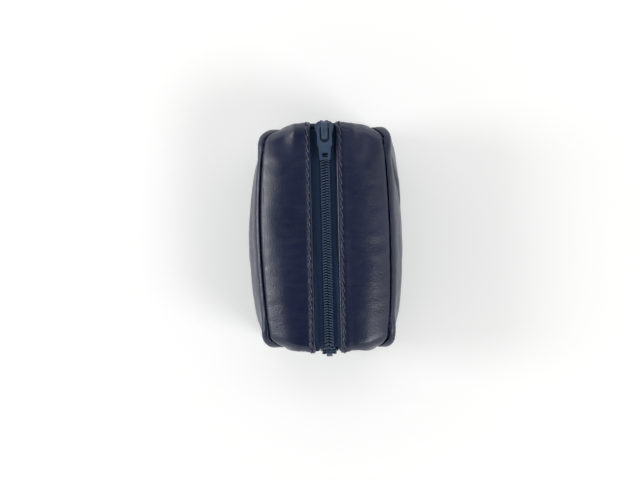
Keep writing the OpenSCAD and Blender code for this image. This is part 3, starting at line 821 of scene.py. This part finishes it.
def side_panel(side):
    """One swollen side panel with its rolled rim."""
    word = SIDE_WORD[side]
    at = panel_grid(150, 84)
    y, z = at[..., 0], at[..., 1]
    inset = from_rim(y, z, seam_y, side_half_h, corner_r)
    points = np.stack([side * panel_x(y, z, side), y, z + side_mid_z], axis=2)
    normals = grid_normals(points)
    normals *= np.sign(normals[..., :1] * side + 1e-9)
    corner = smooth((np.abs(y) - seam_y + 15) / 9) * smooth((np.abs(z) - side_half_h + 13) / 7)
    # Over the rim the leather turns in along the line between it and the next panel
    straight_y, straight_z = seam_y - corner_r, side_half_h - corner_r
    rim = np.stack([np.zeros_like(y), np.where(np.abs(y) > straight_y, y - np.sign(y) * straight_y, 0),
                    np.where(np.abs(z) > straight_z, z - np.sign(z) * straight_z, 0)], axis=2)
    length = np.linalg.norm(rim, axis=2, keepdims=True)
    rim = np.where(length > 1e-6, rim / np.maximum(length, 1e-6), 0)
    towards = unit(normals + rim)
    sink = (0.9 + 0.4 * corner) * clamp(1 - inset / (2.0 + 0.4 * corner)) ** 2
    # At the corners the panel's rim stands out like a rolled ear
    ear = corner * 1.1 * np.exp(-((inset - 1.9) / 1.5) ** 2)
    slack = (ripples(points, (60.0, 24.0, 15.0), 21.0 * side) * 0.6 - 1.1) * smooth(inset / 8)
    creases = ripples(points, (20.0, 9.0, 6.0), 4.4 * side) * 0.22 * smooth(inset / 4)
    pucker = ripples(points, (12.0, 3.6, 3.6), 9.1 * side) * 0.24 * np.exp(-inset / 4.5) * smooth(inset / 0.8)
    relief = ear + slack + creases + pucker
    if side == RIGHT:
        relief = relief + diagonal_fold(y, points[..., 2]) * smooth((inset - 1.5) / 4)
    points = points + normals * relief[..., None] - towards * sink[..., None]
    piece = sheet_piece(f"{word}_side_leather", settled(points), leather_t, LEATHER, flip=side == LEFT)
    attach(piece, "shell")
    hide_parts(f"{word}_side_panel")


def gusset_profile(x):
    """Points (y, z), outward normals and bend share from the front cross seam, under the base, to the rear one."""
    low = base_z(x)
    points, normals, corner = [], [], []
    for end in (FRONT, REAR):
        run = []
        top = cross_z
        bend_top = low + corner_r
        y_low = end_y(x, end, 0) - corner_r
        for t in np.linspace(0, 1, 22, endpoint=False):
            z = mix(top, bend_top, t)
            run.append(((end_y(x, end, z), z), (1, 0), smooth((t - 0.6) / 0.4)))
        for t in np.linspace(0, 1, 11):
            a = t * math.pi / 2
            run.append(((y_low + corner_r * math.cos(a), low + corner_r - corner_r * math.sin(a)),
                        (math.cos(a), -math.sin(a)), 1.0))
        for t in np.linspace(0, 1, 34)[1:]:
            run.append(((mix(y_low, 0, t), low), (0, -1), 1 - smooth(t / 0.15)))
        if end == REAR:
            run = run[::-1][1:]
        for (y, z), (ny, nz), c in run:
            points.append((end * y, z))
            normals.append((end * ny, nz))
            corner.append(c)
    return np.array(points), np.array(normals), np.array(corner)


def gusset():
    """The base and the lower half of both ends."""
    rows, outwards, corners = [], [], []
    shares = [math.copysign(1 - (1 - abs(t)) ** 1.3, t) for t in np.linspace(-1, 1, 73)]
    for share in shares:
        profile, normals, corner = gusset_profile(share * half_top)
        y, z = profile[:, 0], profile[:, 1]
        rows.append(np.stack([share * half_w(y, RIGHT if share > 0 else LEFT), y, z], axis=1))
        outwards.append(np.stack([np.zeros_like(y), normals[:, 0], normals[:, 1]], axis=1))
        corners.append(corner)
    points, normals, corner = np.array(rows), np.array(outwards), np.array(corners)
    x, y, z = points[..., 0], points[..., 1], points[..., 2]
    share = np.abs(np.array(shares))[:, None]
    side = np.sign(np.array(shares) + 1e-9)[:, None, None]
    from_seam = (1 - share) * np.where(side[..., 0] > 0, half_w(y, RIGHT), half_w(y, LEFT))
    towards = unit(normals + side * np.array([1.0, 0, 0]))
    sink = (0.9 + 0.4 * corner) * clamp(1 - from_seam / (2.2 + 0.6 * corner)) ** 2
    from_cross = np.where(z > 10, cross_z - z, 99.0)
    fold = 0.75 * clamp(1 - from_cross / 1.6) ** 2
    standing = smooth((z - 1.5) / 8)
    slack = ripples(points, (22.0, 22.0, 14.0), 31.0) * 0.7 * standing * smooth(from_seam / 9)
    pucker = ripples(points, (3.4, 3.4, 3.4), 2.2) * 0.2 * np.exp(-from_seam / 3.5) * standing
    row = -0.25 * np.exp(-((from_cross - 2.2) / 0.5) ** 2)
    under_pull = 0.5 * np.exp(-(x / 8) ** 2) * (y < 0) * standing
    relief = slack + pucker + row - fold - under_pull
    points = points + normals * relief[..., None] - towards * sink[..., None]
    points[..., 2] = np.maximum(points[..., 2], 0.0)
    piece = sheet_piece("gusset_leather", settled(points), leather_t, LEATHER)
    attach(piece, "shell")
    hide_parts("gusset")


top_strip(LEFT)
top_strip(RIGHT)
side_panel(LEFT)
side_panel(RIGHT)
gusset()


# ---- Linings ----

def side_lining(side):
    """Cloth just inside a side panel."""
    word = SIDE_WORD[side]
    at = panel_grid(60, 34, margin=2.3)
    y, z = at[..., 0], at[..., 1]
    x = panel_x(y, z, side) - sewn_edge - 0.25
    points = np.stack([side * x, y, z + side_mid_z], axis=2)
    points[..., 0] -= side * 0.12 * (1 + ripples(points, (30.0, 9.0, 7.0), 6.0 * side))
    piece = sheet_piece(f"{word}_side_cloth", points, cloth_t, LINING, flip=side == LEFT)
    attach(piece, "shell")
    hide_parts(f"{word}_side_lining")


def gusset_lining():
    """Cloth just inside the gusset."""
    rows = []
    for share in np.linspace(-1, 1, 31):
        profile, normals, _ = gusset_profile(share * (half_top - 2.5))
        inner = profile - normals * 1.65
        keep = np.arange(0, len(inner), 2)
        y, z = inner[keep, 0], inner[keep, 1]
        rows.append(np.stack([share * (half_w(y, RIGHT if share > 0 else LEFT) - 2.6), y, z], axis=1))
    piece = sheet_piece("gusset_cloth", np.array(rows), cloth_t, LINING)
    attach(piece, "shell")
    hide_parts("gusset_lining")


def top_lining(side):
    """Cloth under a strip, from beside the coils to the long seam, hiding the tape's sewn edge."""
    word = SIDE_WORD[side]
    edge = lip_edge[side]
    ys = {REAR: np.linspace(split_y, half_l - 6.0, 40), FRONT: np.linspace(split_y, -reach[FRONT] + 3.2, 40)}
    for end, places in ys.items():
        rows = []
        for t in np.linspace(0, 1, 22):
            x = mix(edge + 1.0, half_top - 3.4, t)
            z = top_z(x) - zip_depth - 0.75
            shift = (half_w(places, side) - half_top) * t
            rows.append(np.stack([side * (x + shift), places, np.full_like(places, z)], axis=1))
        points = np.array(rows)
        points[..., 2] -= 0.1 + 0.1 * ripples(points, (6.0, 14.0, 6.0), 8.0 * side)
        name = f"{word}_top_cloth_{END_WORD[end]}"
        piece = sheet_piece(name, points, cloth_t, LINING, flip=(side == LEFT) == (end == REAR))
        bend_with_lip(piece)
        if end == REAR:
            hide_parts(f"{word}_top_lining")


side_lining(LEFT)
side_lining(RIGHT)
gusset_lining()
top_lining(LEFT)
top_lining(RIGHT)


# ---- Zip: tapes and coils ----

def zip_profile(end, height, bottom, start=split_y, step=0.6):
    """Points (y, z) and normals along the zip at a height over the tape, from the middle out and down one end."""
    r = zip_bend_r + height
    y_bend, z_bend = reach[end] - zip_bend_r, zip_z - zip_bend_r
    flat = np.arange(0, abs(y_bend - start * end), step)
    run = [((start * end + d, zip_z + height), (0, 1)) for d in flat]
    for a in np.linspace(math.pi / 2, 0, 9):
        run.append(((y_bend + r * math.cos(a), z_bend + r * math.sin(a)), (math.cos(a), math.sin(a))))
    for z in np.arange(z_bend - step, bottom, -step):
        run.append(((y_bend + r, z), (1, 0)))
    points = np.array([(end * y, z) for (y, z), _ in run])
    normals = np.array([(end * ny, nz) for _, (ny, nz) in run])
    return points, normals


def tape(side):
    """One zip tape, in two halves that meet at the middle of the mouth."""
    word = SIDE_WORD[side]
    for end in (REAR, FRONT):
        profile, normals = zip_profile(end, -0.02, cross_z - 1.5)
        rows = []
        for x in np.concatenate([np.linspace(0.55, 3.4, 10), np.linspace(4.1, 8, 14), np.linspace(9, tape_w, 4)]):
            bead = 0.1 * math.exp(-((x - 3.1) / 0.5) ** 2)
            # Towards the front the tape comes up to meet the leather's edge, and it bulges beside the slider
            fold = 1.6 * math.exp(-((x - lip_edge[side] + 0.1) / 0.55) ** 2) * smooth((-profile[:, :1] - 4) / 26)
            bulge = 2.1 * smooth((x - 4.1) / 1.1) + 0.9 * math.exp(-((x - 2.35) / 0.35) ** 2)
            bulge = bulge * smooth((-profile[:, :1] - 42) / 8) * (1 - normals[:, 1:] ** 2)
            high = smooth((profile[:, 1:] - zip_z + 5) / 3)
            p = profile + normals * (bead + np.maximum(fold * normals[:, 1:] ** 2, bulge) * high)
            rows.append(np.stack([np.full(len(p), side * x), p[:, 0], p[:, 1]], axis=1))
        name = f"{word}_zip_tape_{END_WORD[end]}"
        piece = sheet_piece(name, np.array(rows), 0.5, TAPE, flip=(side == LEFT) == (end == REAR))
        bend_with_lip(piece)
        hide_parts(f"{word}_tape", f"{word}_tape_{END_WORD[end]}")


coil_pitch = 1.24


def coil_turn(side):
    """One turn of the coil: up round the outside, across the top to its head, and back underneath."""
    wire = 0.29
    low, high = wire + 0.05, coil_h - wire
    mid = (low + high) / 2
    out, head = coil_half - wire, 0.12
    key = [
        (out, -0.5, mid), (out - 0.13, -0.22, high - 0.12), (out - 0.45, -0.1, high), (1.15, -0.05, high),
        (0.8, 0.0, high - 0.03), (head + 0.32, 0.02, high - 0.28), (head, 0.03, mid), (head + 0.25, 0.06, low + 0.28),
        (0.7, 0.12, low), (1.1, 0.2, low), (out - 0.5, 0.3, low), (out - 0.12, 0.42, low + 0.2), (out, 0.5, mid)]
    path = [(side * x, y * coil_pitch, z) for x, y, z in key]
    swollen = [wire * (1.25 if 5 <= i <= 7 else 1.0) for i in range(len(key))]
    mesh = tube_mesh("coil_turn", path, swollen)
    if side == LEFT:
        mesh.flip_normals()
    return new_object("coil_turn", mesh)


def coils(side):
    """One coil, as turns set along the tape."""
    word = SIDE_WORD[side]
    turn = coil_turn(side)
    for end in (REAR, FRONT):
        shift = 0.5 if side == LEFT else 0.0
        start = split_y + (shift * coil_pitch if end == REAR else (shift - 1) * coil_pitch)
        profile, normals = zip_profile(end, 0.0, cross_z + 3.4, start=start)
        path = [(0, y, z) for y, z in profile]
        ups = [(0, ny, nz) for ny, nz in normals]
        if end == FRONT:
            path, ups = path[::-1], ups[::-1]
        name = f"{word}_coil_turns_{END_WORD[end]}"
        piece = copies_along(name, path, ups, turn, coil_pitch, NYLON)
        bend_with_lip(piece)
        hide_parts(f"{word}_coil", f"{word}_coil_{END_WORD[end]}")
    remove(turn)


for side in (LEFT, RIGHT):
    tape(side)
    coils(side)


# ---- Stitching ----

def stitch_piece(length, wire=0.24):
    """Two plies twisted together, high in the middle and diving into the leather at both ends."""
    plies = []
    for ply in (0, 1):
        path = []
        for t in np.linspace(-0.5, 0.5, 15):
            a = t * 2 * math.pi * 1.5 + ply * math.pi
            rise = 0.5 * (1 - (2 * t) ** 4) - 0.4
            path.append((0.2 * math.cos(a) - 0.8 * t, t * length, rise + 0.2 * math.sin(a) + 0.16))
        plies.append(tube_mesh("ply", path, wire))
    return new_object("stitch", joined("stitch", plies))


def topstitch(side, stitch):
    """The row of stitches beside the zip."""
    word = SIDE_WORD[side]
    x = lip_edge[side] + topstitch_in
    for end in (REAR, FRONT):
        profile, normals, _ = strip_profile(x, side)
        line = [(p, n) for p, n in zip(profile, normals) if (p[0] - split_y) * end > stitch_pitch * 0.4]
        path = [(side * x, p[0], p[1]) for p, _ in line if p[1] > cross_z + 1.5]
        ups = [(0, n[0], n[1]) for p, n in line if p[1] > cross_z + 1.5]
        path = settled(np.array(path) - 0.22 * np.array(ups))
        name = f"{word}_topstitch_{END_WORD[end]}"
        piece = copies_along(name, path, ups, stitch, stitch_pitch, THREAD)
        bend_with_lip(piece)
        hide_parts(f"{word}_topstitch", f"{word}_topstitch_ends")


def seam_stitches(side, stitch):
    """Thread glimpsed down in each long seam."""
    word = SIDE_WORD[side]
    path, ups = [], []
    h, r = seam_y, corner_r
    half_y, half_z = h - r, side_half_h - r
    corners = [(half_y, half_z, 0), (-half_y, half_z, 90), (-half_y, -half_z, 180), (half_y, -half_z, 270)]
    for cy, cz, start in corners:
        for a in np.radians(np.linspace(start, start + 90, 9)):
            y, z = cy + r * math.cos(a), cz + r * math.sin(a)
            out = np.array([side, math.cos(a), math.sin(a)]) / math.sqrt(2)
            p = np.array([side * half_w(y, side), y, z + side_mid_z]) - out * 1.0
            path.append(tuple(p))
            ups.append(tuple(out))
    path.append(path[0])
    ups.append(ups[0])
    piece = copies_along(f"{word}_seam_stitches", path, ups, stitch, stitch_pitch, THREAD)
    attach(piece, "shell")
    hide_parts(f"{word}_seam_thread")


stitch = stitch_piece(stitch_length)
for side in (LEFT, RIGHT):
    topstitch(side, stitch)
    seam_stitches(side, stitch)
remove(stitch)


# ---- Sliders ----

def softened(node, name, bevel_mm, material, body):
    """A CAD node's shape with its edges rounded as a casting's are."""
    source = frame["nodes"][node]
    mesh = source.data.copy()
    mesh.name = name
    bm = bmesh.new()
    bm.from_mesh(mesh)
    bmesh.ops.remove_doubles(bm, verts=bm.verts, dist=1e-6)
    bmesh.ops.dissolve_limit(bm, angle_limit=math.radians(2), verts=bm.verts, edges=bm.edges)
    bm.to_mesh(mesh)
    bm.free()
    obj = new_object(name, mesh, material)
    bevel = obj.modifiers.new("rounded edges", "BEVEL")
    bevel.width = bevel_mm * MM
    bevel.segments = 3
    bevel.limit_method = "ANGLE"
    bevel.angle_limit = math.radians(32)
    bevel.harden_normals = False
    baked(obj)
    obj.data.shade_smooth()
    obj.data.set_sharp_from_angle(angle=math.radians(50))
    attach(obj, body)
    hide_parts(node)
    return obj


for end in ("rear", "front"):
    body = softened(f"{end}_slider_body", f"{end}_slider_plates", 0.22, ENAMEL, f"{end}_slider")
    cap = softened(f"{end}_slider_cap", f"{end}_slider_bridge", 0.3, ENAMEL, f"{end}_slider")
    pull = softened(f"{end}_pull", f"{end}_pull_tab", 0.22, ENAMEL, f"{end}_pull")
    for node in (f"{end}_slider_lock_pin", f"{end}_stops"):
        steel_part = frame["nodes"][node]
        steel_part.data.materials.clear()
        steel_part.data.materials.append(STEEL)
